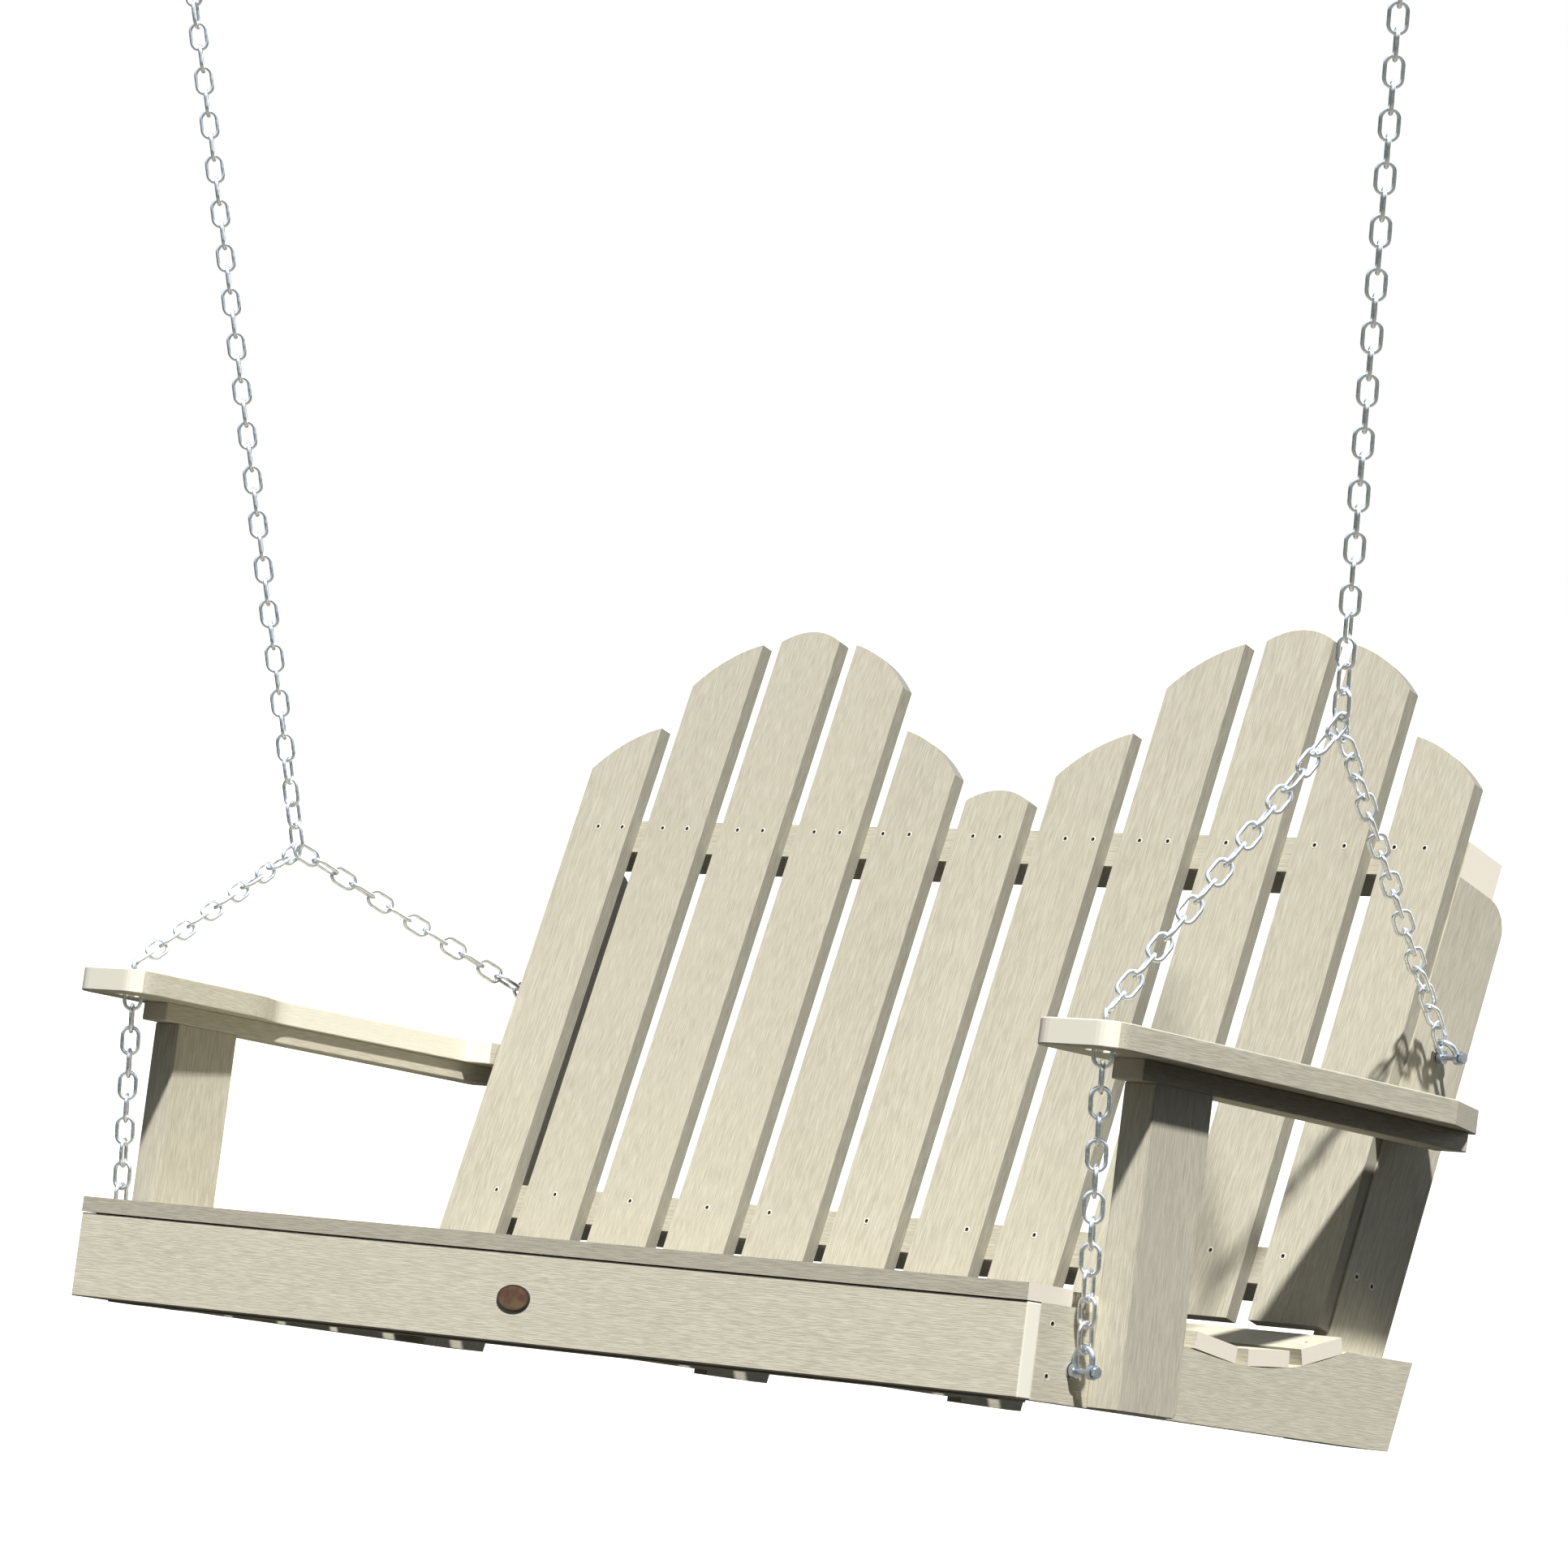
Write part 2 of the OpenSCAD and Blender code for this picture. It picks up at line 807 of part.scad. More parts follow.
// The two legs of a V hang side by side in the junction link's round end, so each
// sits a little higher than one that hangs in the middle
leg_shift = wire / 2 + 0.3;
leg_room = (link_in - wire) / 2;
leg_r = wire / 2 + leg_room - sqrt(pow(leg_room, 2) - pow(leg_shift, 2));

module front_chain(side) {
    top = junction(side) + [side * leg_shift, 0, 0];
    bend = knee(side);
    bow = bow_point(front_anchor, side, bend);
    v = unit(bend - top);
    w = unit(bow - bend);
    n = even_count(top, bend);
    bench() color(steel_colour) {
        chain_run(round_wire(top, leg_r, v), end_wire(bend, v), n);
        chain_run(round_wire(bend, wire / 2, w), round_wire(bow, shackle_wire / 2, -w),
            odd_count(bend, bow));
    }
}

module rear_chain(side) {
    top = junction(side) - [side * leg_shift, 0, 0];
    bow = bow_point(rear_anchor, side, junction(side));
    v = unit(bow - top);
    bench() color(steel_colour)
        chain_run(round_wire(top, leg_r, v), round_wire(bow, shackle_wire / 2, -v),
            odd_count(top, bow));
}

module upper_chain(side) {
    hook = [side > 0 ? hook_x_right : hook_x_left, 0, 0];
    bottom = [side > 0 ? x_right : x_left, 0, side > 0 ? -hook_rise : -left_rise];
    v = unit(bottom - hook);
    color(steel_colour)
        chain_run(round_wire(hook, hook_wire / 2, v), end_wire(bottom, v),
            even_count(hook, bottom));
}

// ---- ceiling hooks -------------------------------------------------------------------

// Closed eye with a collar that bears on the ceiling and a shank that screws into it
module ceiling_hook(x) {
    neck = 2 * hook_r + hook_wire / 2;
    collar_z = neck + 2;
    collar_t = 2.5;
    collar_r = hook_wire * 1.4;
    color(steel_colour) translate([x, 0, 0]) {
        translate([0, 0, hook_r])
            rotate([90, 0, 0])
                rotate_extrude(angle = 360)
                    translate([hook_r, 0])
                        circle(r = hook_wire / 2, $fn = 32);
        translate([0, 0, 2 * hook_r])
            cylinder(h = collar_z + collar_t + hook_shank - 2 * hook_r, r = hook_wire / 2);
        translate([0, 0, collar_z])
            cylinder(h = collar_t, r = collar_r);
    }
}

// ---- screws --------------------------------------------------------------------------

module back_screws() {
    bench() color(steel_colour) on_back()
        for (i = [0 : back_n - 1])
            back_screw_set(i, 0);
}

module seat_screws() {
    bench() color(steel_colour)
        for (i = [0 : slat_n - 1])
            seat_screw_set(i, 0);
}

module frame_screws() {
    bench() color(steel_colour) all_frame_screws(0);
}

front_apron();
front_rail();
side_rail(-1);  // side_rail_left
side_rail(1);  // side_rail_right
seat_support(-1);  // seat_support_left
seat_support(1);  // seat_support_right
seat_slat(0);  // seat_slat_1
seat_slat(1);  // seat_slat_2
seat_slat(2);  // seat_slat_3
seat_slat(3);  // seat_slat_4
seat_slat(4);  // seat_slat_5
seat_slat(5);  // seat_slat_6
back_upright(-1);  // back_upright_left
back_upright(1);  // back_upright_right
back_rail(lower_rail_h, upright_x);  // back_rail_lower
back_rail(upper_rail_h, inner_w);  // back_rail_upper
back_slat(0);  // back_slat_1
back_slat(1);  // back_slat_2
back_slat(2);  // back_slat_3
back_slat(3);  // back_slat_4
back_slat(4);  // back_slat_5
back_slat(5);  // back_slat_6
back_slat(6);  // back_slat_7
back_slat(7);  // back_slat_8
back_slat(8);  // back_slat_9
back_slat(9);  // back_slat_10
back_slat(10);  // back_slat_11
arm_post(-1);  // arm_post_left
arm_post(1);  // arm_post_right
arm_rail(-1);  // arm_rail_left
arm_rail(1);  // arm_rail_right
armrest(-1);  // armrest_left
armrest(1);  // armrest_right
back_screws();
seat_screws();
frame_screws();
badge();
anchor_bolts();
anchor_washers();
anchor_nuts();
shackles();
front_chain(-1);  // front_chain_left
front_chain(1);  // front_chain_right
rear_chain(-1);  // rear_chain_left
rear_chain(1);  // rear_chain_right
upper_chain(-1);  // upper_chain_left
upper_chain(1);  // upper_chain_right
ceiling_hook(hook_x_left);  // ceiling_hook_left
ceiling_hook(hook_x_right);  // ceiling_hook_right
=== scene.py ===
"""Looks for the porch swing: poly-lumber boards, zinc-plated chain and fittings."""

import math

import bmesh
import bpy
import numpy as np
from mathutils import Matrix, Vector


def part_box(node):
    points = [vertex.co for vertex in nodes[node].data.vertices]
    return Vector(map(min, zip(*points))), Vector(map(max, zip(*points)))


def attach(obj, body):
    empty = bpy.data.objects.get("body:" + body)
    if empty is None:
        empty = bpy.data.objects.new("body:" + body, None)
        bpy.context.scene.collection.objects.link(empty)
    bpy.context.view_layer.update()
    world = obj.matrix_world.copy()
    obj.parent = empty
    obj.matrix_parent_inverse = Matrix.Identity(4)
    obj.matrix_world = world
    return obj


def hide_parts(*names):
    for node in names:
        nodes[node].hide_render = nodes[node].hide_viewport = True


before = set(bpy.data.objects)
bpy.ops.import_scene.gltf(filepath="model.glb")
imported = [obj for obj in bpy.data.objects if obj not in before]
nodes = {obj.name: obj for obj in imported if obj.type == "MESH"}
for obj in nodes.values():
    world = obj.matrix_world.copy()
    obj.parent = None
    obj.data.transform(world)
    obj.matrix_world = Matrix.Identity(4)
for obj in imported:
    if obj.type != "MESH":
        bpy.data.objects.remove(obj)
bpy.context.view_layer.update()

# ---- directions of the leaned bench, in the world ------------------------------------

SEAT_LEAN = math.radians(12)
BACK_LEAN = SEAT_LEAN + math.radians(14.9)
ACROSS = Vector((1, 0, 0))
REAR = Vector((0, math.cos(SEAT_LEAN), -math.sin(SEAT_LEAN)))
UP = Vector((0, math.sin(SEAT_LEAN), math.cos(SEAT_LEAN)))
SLOPE = Vector((0, math.sin(BACK_LEAN), math.cos(BACK_LEAN)))
BEHIND = Vector((0, math.cos(BACK_LEAN), -math.sin(BACK_LEAN)))


# ---- node-tree helpers ---------------------------------------------------------------

class Tree:
    """A material's node tree with short calls for the nodes used here."""

    def __init__(self, name):
        self.material = bpy.data.materials.new(name)
        self.material.use_nodes = True
        self.nodes = self.material.node_tree.nodes
        self.links = self.material.node_tree.links
        self.shader = self.nodes["Principled BSDF"]

    def add(self, kind, **values):
        node = self.nodes.new(kind)
        for key, value in values.items():
            setattr(node, key, value)
        return node

    def feed(self, source, socket):
        if isinstance(source, bpy.types.NodeSocket):
            self.links.new(source, socket)
        else:
            socket.default_value = source

    def math(self, operation, a, b=0.0, clamp=False):
        node = self.add("ShaderNodeMath", operation=operation, use_clamp=clamp)
        self.feed(a, node.inputs[0])
        self.feed(b, node.inputs[1])
        return node.outputs[0]

    def dot(self, vector, direction):
        node = self.add("ShaderNodeVectorMath", operation="DOT_PRODUCT")
        self.links.new(vector, node.inputs[0])
        node.inputs[1].default_value = direction
        return node.outputs["Value"]

    def ramp(self, value, low, high, to_low=0.0, to_high=1.0):
        node = self.add("ShaderNodeMapRange", interpolation_type="SMOOTHSTEP")
        self.links.new(value, node.inputs["Value"])
        node.inputs["From Min"].default_value = low
        node.inputs["From Max"].default_value = high
        node.inputs["To Min"].default_value = to_low
        node.inputs["To Max"].default_value = to_high
        return node.outputs["Result"]

    def mix(self, factor, a, b, blend="MIX"):
        node = self.add("ShaderNodeMix", data_type="RGBA", blend_type=blend)
        self.feed(factor, node.inputs[0])
        self.feed(a, node.inputs[6])
        self.feed(b, node.inputs[7])
        return node.outputs[2]

    def mapping(self, vector, rotation=(0, 0, 0), scale=(1, 1, 1), location=(0, 0, 0)):
        node = self.add("ShaderNodeMapping")
        self.links.new(vector, node.inputs["Vector"])
        node.inputs["Rotation"].default_value = rotation
        node.inputs["Scale"].default_value = scale
        node.inputs["Location"].default_value = location
        return node.outputs["Vector"]

    def noise(self, vector, scale=1.0, detail=3.0, roughness=0.55):
        node = self.add("ShaderNodeTexNoise")
        self.links.new(vector, node.inputs["Vector"])
        node.inputs["Scale"].default_value = scale
        node.inputs["Detail"].default_value = detail
        node.inputs["Roughness"].default_value = roughness
        return node.outputs["Fac"]

    def bump(self, height, distance, strength=1.0):
        node = self.add("ShaderNodeBump")
        self.links.new(height, node.inputs["Height"])
        node.inputs["Distance"].default_value = distance
        node.inputs["Strength"].default_value = strength
        self.links.new(node.outputs["Normal"], self.shader.inputs["Normal"])


def linear(red, green, blue):
    """A colour given as on screen, 0 to 255, turned into scene light."""
    def channel(c):
        c = c / 255
        return c / 12.92 if c <= 0.04045 else ((c + 0.055) / 1.055) ** 2.4
    return (channel(red), channel(green), channel(blue), 1)


# ---- lumber --------------------------------------------------------------------------

FACE = linear(203, 199, 183)
STREAK = linear(172, 167, 150)
BAND = linear(186, 181, 165)
CUT = linear(240, 233, 219)
GRAIN_WIDTH = 0.0009
GRAIN_LENGTH = 0.02
EMBOSSING = 0.0004

# The armrests' outer edges, this far out from the middle, are sawn as their ends are
ARMREST_SAWN_X = 0.656
SAWN_REACH = 0.012


def grey(level):
    return (level, level, level, 1)


def scaled(colour, factor, most=1.0):
    return tuple(min(most, c * factor) for c in colour[:3]) + (1,)


def lumber(name, grain, edge, seed, tone, edge_painted_shading, cut_painted_shading, sawn_x=None):
    """Embossed poly lumber with its grain along one direction. Faces square to the
    grain are paler saw cuts; faces looking along edge get a shade of their own. The
    board's tone, the edges' shade and the cuts' brightness are painted light and shade,
    set per family of boards for how the light falls on them."""
    t = Tree(name)
    place = t.add("ShaderNodeTexCoord")
    to_grain = Vector(grain).rotation_difference(Vector((0, 0, 1))).to_euler()
    along = t.mapping(place.outputs["Object"], rotation=to_grain)
    drift = (seed * 3.7, seed * 1.9, seed * 5.3)

    def streaks(width, length, detail):
        size = (1 / width, 1 / width, 1 / length)
        return t.noise(t.mapping(along, scale=size, location=drift), detail=detail)

    fine = streaks(GRAIN_WIDTH, GRAIN_LENGTH, 4)
    broad = streaks(GRAIN_WIDTH * 9, GRAIN_LENGTH * 14, 3)
    cloud = streaks(0.05, 0.25, 2)

    normal = place.outputs["Normal"]
    cut = t.ramp(t.math("ABSOLUTE", t.dot(normal, grain)), 0.45, 0.7)
    side = t.ramp(t.math("ABSOLUTE", t.dot(normal, edge)), 0.9, 0.99)
    if sawn_x:
        x = t.add("ShaderNodeSeparateXYZ")
        t.links.new(place.outputs["Object"], x.inputs[0])
        off = t.math("ABSOLUTE", t.math("SUBTRACT", t.math("ABSOLUTE", x.outputs[0]), sawn_x))
        near = t.ramp(off, SAWN_REACH, 0.75 * SAWN_REACH, 0.0, 0.6)
        cut = t.math("MAXIMUM", cut, t.math("MULTIPLY", near, side))

    def shaded(colour, factor):
        return scaled(colour, factor, most=0.9)

    # The family's tone lightens or darkens the whole board for how the light falls on it:
    # painted light and shade
    shade = t.mix(t.ramp(fine, 0.36, 0.64, 0.0, 0.85), shaded(FACE, tone), shaded(STREAK, tone))
    shade = t.mix(t.ramp(broad, 0.45, 0.75, 0.0, 0.5), shade, shaded(BAND, tone))
    shade = t.mix(t.ramp(cloud, 0.35, 0.7, 0.0, 0.15), shade, shaded(FACE, tone * 1.05))
    # Faces looking along edge are multiplied by their family's edge shade: painted shade where
    # it darkens them (back slats), painted light where it brightens them (posts, seat slats)
    shade = t.mix(side, shade, t.mix(1.0, shade, grey(edge_painted_shading), "MULTIPLY"))
    # Saw cuts are paler lumber; the family's cut factor brightens or darkens them for how the
    # light falls: painted light on the apron and armrests, painted shade on the back slats
    bright, dull = shaded(CUT, cut_painted_shading), shaded(CUT, cut_painted_shading * 0.94)
    shade = t.mix(cut, shade, t.mix(t.ramp(fine, 0.3, 0.7), bright, dull))
    t.links.new(shade, t.shader.inputs["Base Color"])

    relief = t.math("ADD", t.math("MULTIPLY", fine, 0.75), t.math("MULTIPLY", broad, 0.25))
    relief = t.math("MULTIPLY", relief, t.math("SUBTRACT", 1.0, t.math("MULTIPLY", cut, 0.7)))
    t.bump(relief, EMBOSSING, 0.7)
    t.links.new(t.ramp(fine, 0.3, 0.7, 0.62, 0.78), t.shader.inputs["Roughness"])
    t.shader.inputs["Specular IOR Level"].default_value = 0.25
    return t.material


# Start of the nodes' names, grain, edge direction, tone, shade of the edges and of cuts.
# Tone and the two shades are painted light and shade: each family is made lighter or
# darker for how the light falls on its faces, such as the apron's front made brighter
# and the back slats' side edges and crowns made darker.
BOARDS = [
    ("front_apron", ACROSS, UP, 1.44, 1.0, 1.12),
    ("front_rail", ACROSS, UP, 0.9, 1.0, 1.0),
    ("side_rail", REAR, UP, 1.06, 1.0, 0.9),
    ("seat_support", REAR, UP, 0.9, 1.0, 0.9),
    ("seat_slat", ACROSS, REAR, 0.93, 1.12, 0.95),
    ("back_upright", SLOPE, BEHIND, 0.95, 1.0, 0.8),
    ("back_rail", ACROSS, SLOPE, 0.9, 1.0, 1.0),
    ("back_slat", SLOPE, ACROSS, 0.94, 0.66, 0.26),
    ("arm_post", UP, REAR, 0.9, 1.42, 0.95),
    ("arm_rail", REAR, ACROSS, 1.0, 1.0, 0.95),
    ("armrest", REAR, ACROSS, 1.0, 0.95, 1.12),
]

# Rounding of the boards' and the badge's edges, and what counts as one corner, as flat
# and as a sharp edge
BOARD_EDGE = 0.0012
BADGE_EDGE = 0.0005
SPLIT_CORNER = 0.00002
FLAT_ANGLE = math.radians(0.5)
SHARP_ANGLE = math.radians(40)


def ease_edges(obj, width):
    """Joins the faces' split corners, rounds the sharp edges and shades faces flat."""
    weld = obj.modifiers.new("weld", "WELD")
    weld.merge_threshold = SPLIT_CORNER
    flats = obj.modifiers.new("flats", "DECIMATE")
    flats.decimate_type = "DISSOLVE"
    flats.angle_limit = FLAT_ANGLE
    bevel = obj.modifiers.new("ease", "BEVEL")
    bevel.width = width
    bevel.segments = 2
    bevel.limit_method = "ANGLE"
    bevel.angle_limit = SHARP_ANGLE
    bevel.use_clamp_overlap = True
    level = obj.modifiers.new("level", "WEIGHTED_NORMAL")
    level.weight = 100
    level.keep_sharp = True


def paint(obj, material):
    obj.data.materials.clear()
    obj.data.materials.append(material)


seed = 0
for prefix, grain, edge, tone, edge_painted_shading, cut_painted_shading in BOARDS:
    for name in sorted(n for n in nodes if n.startswith(prefix)):
        seed += 1
        board = nodes[name]
        sawn_x = ARMREST_SAWN_X if prefix == "armrest" else None
        # The boards differ a little in tone, as they do from one batch to the next; the
        # family's tone that this varies is painted light and shade.
        varied = tone * (1 + 0.02 * math.sin(seed * 2.4))
        paint(board, lumber(name, grain, edge, seed, varied, edge_painted_shading, cut_painted_shading, sawn_x))
        ease_edges(board, BOARD_EDGE)


# ---- metal ---------------------------------------------------------------------------

def zinc(name, base, roughness, speckle):
    """Bright zinc plating: bluish, cloudy, with duller patches."""
    t = Tree(name)
    place = t.add("ShaderNodeTexCoord").outputs["Object"]
    cloudy = t.noise(place, scale=220, detail=4)
    fine = t.noise(place, scale=1400, detail=2)
    patches = t.mix(t.ramp(cloudy, 0.45, 0.7, 0, speckle), base, scaled(base, 0.62))
    t.links.new(patches, t.shader.inputs["Base Color"])
    t.shader.inputs["Metallic"].default_value = 1.0
    dulled = t.ramp(cloudy, 0.3, 0.7, roughness, roughness + 0.16)
    t.links.new(dulled, t.shader.inputs["Roughness"])
    t.bump(fine, 0.00015, 0.4)
    return t.material


chain_metal = zinc("chain_zinc", linear(226, 229, 231), 0.2, 0.45)
fitting_metal = zinc("fitting_zinc", linear(196, 204, 214), 0.26, 0.6)


def plain(name, base, roughness, spots):
    """A painted or coated surface with faint spots."""
    t = Tree(name)
    place = t.add("ShaderNodeTexCoord").outputs["Object"]
    speckle = t.noise(place, scale=900, detail=2)
    spotted = t.mix(t.ramp(speckle, 0.4, 0.65), base, scaled(base, spots))
    t.links.new(spotted, t.shader.inputs["Base Color"])
    rougher = t.ramp(speckle, 0.3, 0.7, roughness, roughness + 0.1)
    t.links.new(rougher, t.shader.inputs["Roughness"])
    return t.material


screw_rim = plain("screw_rim", linear(226, 220, 204), 0.45, 0.9)
# Near black for the screws' sockets: painted shade in the recesses
screw_socket = plain("screw_socket", linear(34, 31, 26), 0.6, 0.7)

# Height of the oval badge for its width
BADGE_RATIO = 26 / 46


def badge_finish():
    """Bronzed oval, mottled brown, with a dark rim."""
    t = Tree("badge_bronze")
    low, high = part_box("badge")
    middle = (Vector(low) + Vector(high)) / 2
    place = t.add("ShaderNodeTexCoord").outputs["Object"]
    cloudy = t.noise(place, scale=75, detail=3)
    away = t.mapping(place, location=-middle)
    half_width = (high[0] - low[0]) / 2
    across = t.math("DIVIDE", t.dot(away, ACROSS), half_width)
    upward = t.math("DIVIDE", t.dot(away, UP), half_width * BADGE_RATIO)
    across_squared = t.math("MULTIPLY", across, across)
    upward_squared = t.math("MULTIPLY", upward, upward)
    radius = t.math("SQRT", t.math("ADD", across_squared, upward_squared))
    face = t.mix(t.ramp(cloudy, 0.35, 0.65), linear(112, 78, 62), linear(132, 108, 80))
    rimmed = t.mix(t.ramp(radius, 0.8, 0.97), face, linear(62, 56, 48))
    t.links.new(rimmed, t.shader.inputs["Base Color"])
    t.shader.inputs["Metallic"].default_value = 0.3
    t.shader.inputs["Roughness"].default_value = 0.42
    t.bump(cloudy, 0.0002, 0.4)
    return t.material


FITTINGS = (
    "anchor_bolts", "anchor_washers", "anchor_nuts", "shackles",
    "ceiling_hook_left", "ceiling_hook_right",
)
for name in FITTINGS:
    paint(nodes[name], fitting_metal)
paint(nodes["badge"], badge_finish())
ease_edges(nodes["badge"], BADGE_EDGE)


# ---- chain links ---------------------------------------------------------------------

WIRE = 0.0043
LINK_INNER = 0.0128
ARC = (LINK_INNER + WIRE) / 2
SAME_POINT = 0.00001

# Steps round the wire, round a link's bend and along its straight side
ROUND = 14
BEND_STEPS = 14
SIDE_STEPS = 6

# A link's weld, halfway along one side: its swelling and its reach, as a share of the side
WELD_SWELL = 0.07
WELD_REACH = 0.14


def islands(mesh):
    """Groups of a mesh's vertices that belong to one solid, as lists of positions."""
    bm = bmesh.new()
    bm.from_mesh(mesh)
    bmesh.ops.remove_doubles(bm, verts=bm.verts, dist=SAME_POINT)
    seen = set()
    groups = []
    for start in bm.verts:
        if start in seen:
            continue
        seen.add(start)
        stack, group = [start], []
        while stack:
            v = stack.pop()
            group.append(v.co.copy())
            for e in v.link_edges:
                other = e.other_vert(v)
                if other not in seen:
                    seen.add(other)
                    stack.append(other)
        groups.append(group)
    bm.free()
    return groups


def link_frame(points):
    """Centre, axes (across, through, along) and length of a link from its points."""
    p = np.array([tuple(v) for v in points])
    centre = p.mean(0)
    _, vectors = np.linalg.eigh(np.cov((p - centre).T))
    through, across, along = vectors[:, 0], vectors[:, 1], vectors[:, 2]
    middle = centre.copy()
    for axis in (through, across, along):
        spread = (p - centre) @ axis
        middle = middle + axis * (spread.max() + spread.min()) / 2
    length = ((p - centre) @ along).max() - ((p - centre) @ along).min()
    return Vector(middle), Vector(across), Vector(through), Vector(along), float(length)


def link_path(length):
    """Points, outward directions and wire swelling round a link's centre line."""
    half = (length - WIRE) / 2 - ARC
    path = []
    for end in (1, -1):
        for i in range(BEND_STEPS + 1):
            a = math.pi * i / BEND_STEPS
            out = Vector((math.cos(a) * end, 0, math.sin(a) * end))
            path.append((out * ARC + Vector((0, 0, half * end)), out, 0))
        for i in range(1, SIDE_STEPS):
            s = i / SIDE_STEPS
            point = Vector((-ARC * end, 0, half * end * (1 - 2 * s)))
            weld = math.exp(-((s - 0.5) / WELD_REACH) ** 2) if end > 0 else 0
            path.append((point, Vector((-end, 0, 0)), weld))
    return path


def circle(bm, centre, radius, x, y, sides):
    """New vertices round a circle whose plane is spanned by x and y."""
    angles = [2 * math.pi * k / sides for k in range(sides)]
    points = [centre + radius * (x * math.cos(a) + y * math.sin(a)) for a in angles]
    return [bm.verts.new(p) for p in points]


def join_rings(bm, ring, following):
    """Faces between two rings of as many vertices each."""
    last = len(ring) - 1
    pairs = [(k, 0 if k == last else k + 1) for k in range(len(ring))]
    return [bm.faces.new((ring[k], ring[n], following[n], following[k])) for k, n in pairs]


def add_link(bm, centre, across, through, along, length):
    turn = Matrix((across, through, along)).transposed()
    rings = []
    for point, out, weld in link_path(length):
        radius = WIRE / 2 * (1 + WELD_SWELL * weld)
        rings.append(circle(bm, centre + turn @ point, radius, turn @ out, through, ROUND))
    for i, ring in enumerate(rings):
        join_rings(bm, ring, rings[(i + 1) % len(rings)])


# A hanging chain is free to twist: away from its ends its links turn, a few degrees
# from one to the next, until every other one faces this way
FACING = Vector((0.69, -0.72, 0.0))
TWIST_LINKS = 6


def twist_between(through, along):
    """Smallest turn about along that makes a link face FACING or lie edge-on to it."""
    flat = (FACING - FACING.dot(along) * along).normalized()
    turn = math.atan2(along.dot(through.cross(flat)), through.dot(flat))
    return (turn + math.pi / 4) % (math.pi / 2) - math.pi / 4


def settle(links_from_end):
    """0 at a chain's end, 1 from TWIST_LINKS links on, with a smooth change between."""
    s = min(1, links_from_end / TWIST_LINKS)
    return s * s * (3 - 2 * s)


def stand_in(bm, cad_name, ending, materials, body):
    """Turns the mesh into a piece that replaces a CAD node on its body."""
    bmesh.ops.recalc_face_normals(bm, faces=bm.faces)
    mesh = bpy.data.meshes.new(cad_name + ending)
    bm.to_mesh(mesh)
    bm.free()
    for material in materials:
        mesh.materials.append(material)
    piece = bpy.data.objects.new(cad_name + ending, mesh)
    bpy.context.scene.collection.objects.link(piece)
    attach(piece, body)
    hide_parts(cad_name)


def smooth_chain(name, body):
    """Replaces a CAD chain by round links of the same size in the same places."""
    bm = bmesh.new()
    frames = [link_frame(group) for group in islands(nodes[name].data)]
    links = sorted(frames, key=lambda link: link[0].z)
    for i, (centre, across, through, along, length) in enumerate(links):
        if along.z < 0:
            along = -along
        ease = settle(i) * settle(len(links) - 1 - i)
        turn = Matrix.Rotation(twist_between(through, along) * ease, 3, along)
        add_link(bm, centre, turn @ across, turn @ through, along, length)
    for face in bm.faces:
        face.smooth = True
    stand_in(bm, name, "_links", [chain_metal], body)


for name in sorted(n for n in nodes if "chain" in n):
    smooth_chain(name, "upper_chains" if name.startswith("upper") else "bench")


# ---- screws --------------------------------------------------------------------------

# Radii of a screw's head, shank and tip, and the length of its point
HEAD = 0.0039
SHANK = 0.002
TIP = 0.0004
POINT = 0.003

# Radius and depth below the head's face, from the socket's bottom to under the head;
# the first rings are the socket's
SCREW_PROFILE = [
    (0.0008, 0.0019), (0.0015, 0.0017), (0.0018, 0.0006), (0.0022, 0.00025),
    (0.0029, 0.0001), (HEAD, 0.0002), (HEAD, 0.0005), (SHANK, 0.0024),
]
SOCKET_RINGS = 3
SCREW_SIDES = 20

# How much of a screw's length counts as its end when its two ends are compared
END_SLICE = 0.0003


def screw_pose(points):
    """Middle of a screw's head face, its axis out of the board, and its length."""
    p = np.array([tuple(v) for v in points])
    centre = p.mean(0)
    along = np.linalg.eigh(np.cov((p - centre).T))[1][:, 2]
    s = (p - centre) @ along
    ends = [p[s > s.max() - END_SLICE], p[s < s.min() + END_SLICE]]
    reach = [np.ptp(e, axis=0).max() for e in ends]
    if reach[0] < reach[1]:
        ends.reverse()
    top, tip = Vector(ends[0].mean(0)), Vector(ends[1].mean(0))
    return top, (top - tip).normalized(), (top - tip).length


def add_screw(bm, top, axis, length):
    side = axis.orthogonal().normalized()
    other = axis.cross(side)
    profile = SCREW_PROFILE + [(SHANK, length - POINT), (TIP, length)]
    rings = [
        circle(bm, top - axis * depth, radius, side, other, SCREW_SIDES)
        for radius, depth in profile
    ]
    for i, (ring, following) in enumerate(zip(rings, rings[1:])):
        for face in join_rings(bm, ring, following):
            # The socket's faces and its floor take the near-black colour: painted shade
            face.material_index = 1 if i < SOCKET_RINGS else 0
            face.smooth = True
    bm.faces.new(rings[0]).material_index = 1
    bm.faces.new(rings[-1])


def detailed_screws(name):
    """Replaces plain CAD screws by ones with a pale coated head whose socket is
    painted near black: painted shade in the recess.
    """
    bm = bmesh.new()
    for group in islands(nodes[name].data):
        add_screw(bm, *screw_pose(group))
    stand_in(bm, name, "_heads", [screw_rim, screw_socket], "bench")


for name in ("back_screws", "seat_screws", "frame_screws"):
    detailed_screws(name)


# ---- stage, light and camera ---------------------------------------------------------

FLOOR_HEIGHT = -2.0
FLOOR_REACH = 60


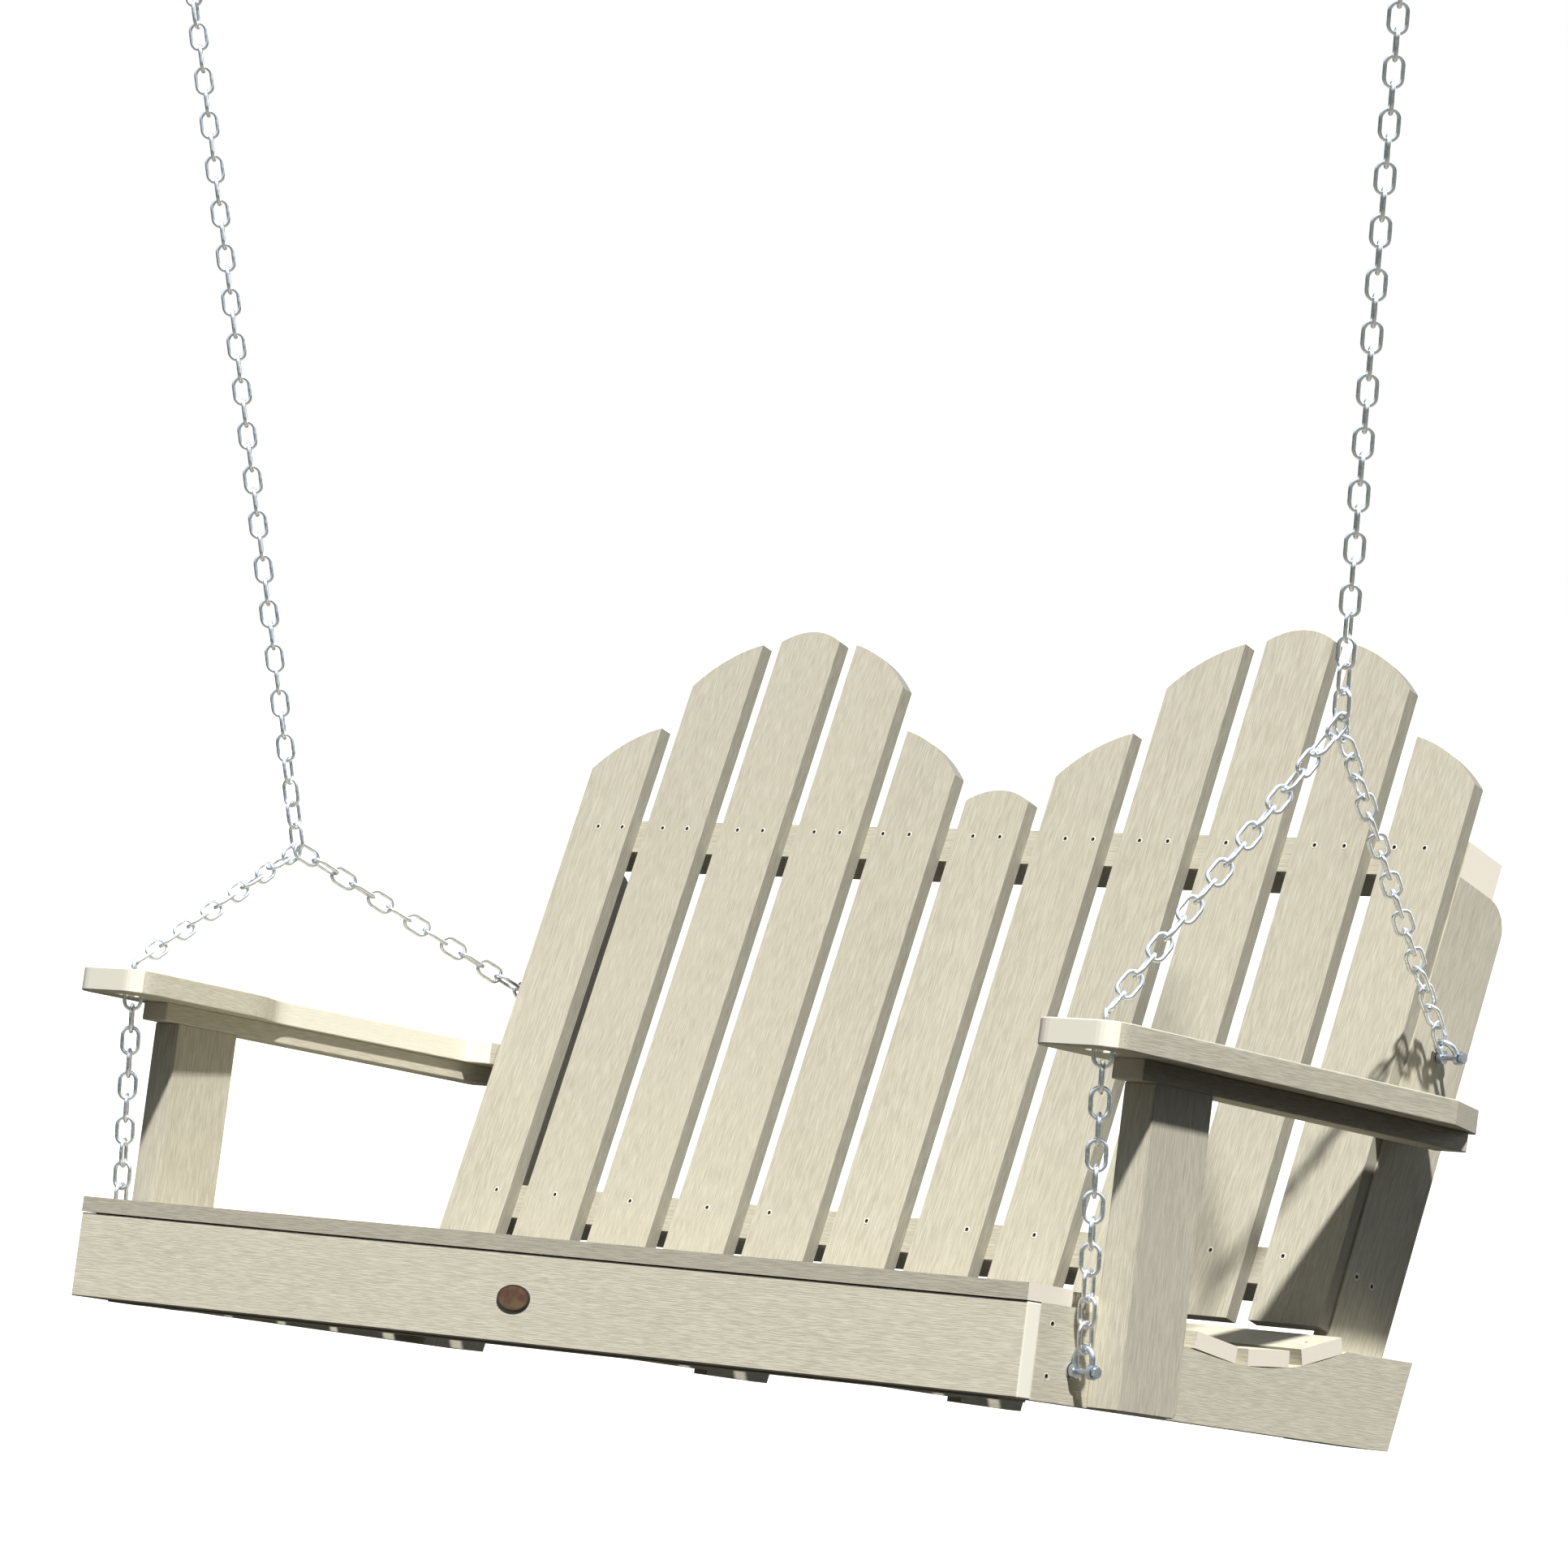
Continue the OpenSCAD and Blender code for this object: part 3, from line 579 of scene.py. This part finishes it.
def stage_floor(height, reach):
    """Pale ground under the swing that lights nothing and shows in no reflection."""
    mesh = bpy.data.meshes.new("floor")
    outline = [(-1, -1), (1, -1), (1, 1), (-1, 1)]
    corners = [(x * reach, y * reach, height) for x, y in outline]
    mesh.from_pydata(corners, [], [(0, 1, 2, 3)])
    floor = bpy.data.objects.new("floor", mesh)
    bpy.context.scene.collection.objects.link(floor)
    t = Tree("floor_pale")
    place = t.add("ShaderNodeTexCoord").outputs["Object"]
    mottled = t.mix(t.noise(place, scale=3), (0.86, 0.86, 0.855, 1), (0.9, 0.9, 0.895, 1))
    t.links.new(mottled, t.shader.inputs["Base Color"])
    t.shader.inputs["Roughness"].default_value = 0.9
    mesh.materials.append(t.material)
    floor.visible_diffuse = False
    floor.visible_glossy = False


stage_floor(FLOOR_HEIGHT, FLOOR_REACH)

# Name, direction of travel, strength, angular size in degrees, colour. The fill comes
# from behind, so that the back shows its boards and little changes in front.
LIGHTS = [
    ("key", (-0.48, 0.2, -1.065), 6.8, 3, (1.0, 0.98, 0.94)),
    ("fill", (-0.1, -1.0, -0.25), 1.3, 60, (0.92, 0.96, 1.0)),
]


def distant_light(name, travel, strength, angle, colour):
    light = bpy.data.lights.new(name, "SUN")
    light.energy = strength
    light.angle = math.radians(angle)
    light.color = colour
    lamp = bpy.data.objects.new(name, light)
    lamp.rotation_mode = "QUATERNION"
    lamp.rotation_quaternion = Vector(travel).to_track_quat("-Z", "Y")
    bpy.context.scene.collection.objects.link(lamp)


for settings in LIGHTS:
    distant_light(*settings)

# Sky straight below and overhead, and its bands between: height from 0 to 1, and colour
NADIR = (0.3, 0.29, 0.26, 1)
ZENITH = (0.84, 0.91, 1.0, 1)
SKY_BANDS = [
    (0.4, (0.22, 0.21, 0.18, 1)),
    (0.5, (0.05, 0.06, 0.05, 1)),
    (0.58, (0.1, 0.12, 0.12, 1)),
    (0.7, (0.56, 0.62, 0.72, 1)),
]


SOFT_STRENGTH = 0.17
GLOSS_STRENGTH = 1.7


def sky():
    """White to the camera, a faint sky as light, and a bright one in reflections."""
    world = bpy.data.worlds.new("studio")
    world.use_nodes = True
    bpy.context.scene.world = world
    n, link = world.node_tree.nodes, world.node_tree.links
    n.clear()

    def background(colour, strength):
        shader = n.new("ShaderNodeBackground")
        shader.inputs["Strength"].default_value = strength
        if isinstance(colour, tuple):
            shader.inputs["Color"].default_value = colour
        else:
            link.new(colour, shader.inputs["Color"])
        return shader.outputs[0]

    def choose(ray, otherwise, chosen):
        mixer = n.new("ShaderNodeMixShader")
        link.new(path.outputs[ray], mixer.inputs[0])
        link.new(otherwise, mixer.inputs[1])
        link.new(chosen, mixer.inputs[2])
        return mixer.outputs[0]

    place = n.new("ShaderNodeTexCoord")
    split = n.new("ShaderNodeSeparateXYZ")
    link.new(place.outputs["Generated"], split.inputs[0])
    height = n.new("ShaderNodeMapRange")
    link.new(split.outputs["Z"], height.inputs["Value"])
    height.inputs["From Min"].default_value = -1
    height.inputs["From Max"].default_value = 1
    bands = n.new("ShaderNodeValToRGB")
    link.new(height.outputs[0], bands.inputs[0])
    bands.color_ramp.elements[0].color = NADIR
    bands.color_ramp.elements[1].color = ZENITH
    for position, tone in SKY_BANDS:
        bands.color_ramp.elements.new(position).color = tone

    path = n.new("ShaderNodeLightPath")
    soft = background(bands.outputs[0], SOFT_STRENGTH)
    glossy = background(bands.outputs[0], GLOSS_STRENGTH)
    lighting = choose("Is Glossy Ray", soft, glossy)
    seen = choose("Is Camera Ray", lighting, background((1, 1, 1, 1), 1))
    out = n.new("ShaderNodeOutputWorld")
    link.new(seen, out.inputs[0])


sky()

CAMERA_PLACE = (4.3856, -4.6055, -0.6899)
AZIMUTH = math.radians(43.52)
ELEVATION = math.radians(2.345)
ROLL = math.radians(-1.13)
FOCAL_LENGTH = 143.2
lens = bpy.data.cameras.new("camera")
lens.sensor_width = 36
lens.lens = FOCAL_LENGTH
camera = bpy.data.objects.new("camera", lens)
camera.matrix_world = (
    Matrix.Translation(CAMERA_PLACE)
    @ Matrix.Rotation(AZIMUTH, 4, "Z")
    @ Matrix.Rotation(math.pi / 2 - ELEVATION, 4, "X")
    @ Matrix.Rotation(ROLL, 4, "Z")
)
bpy.context.scene.collection.objects.link(camera)
bpy.context.scene.camera = camera
bpy.context.scene.view_settings.view_transform = "Standard"

# ---- final update --------------------------------------------------------------------

bpy.context.view_layer.update()
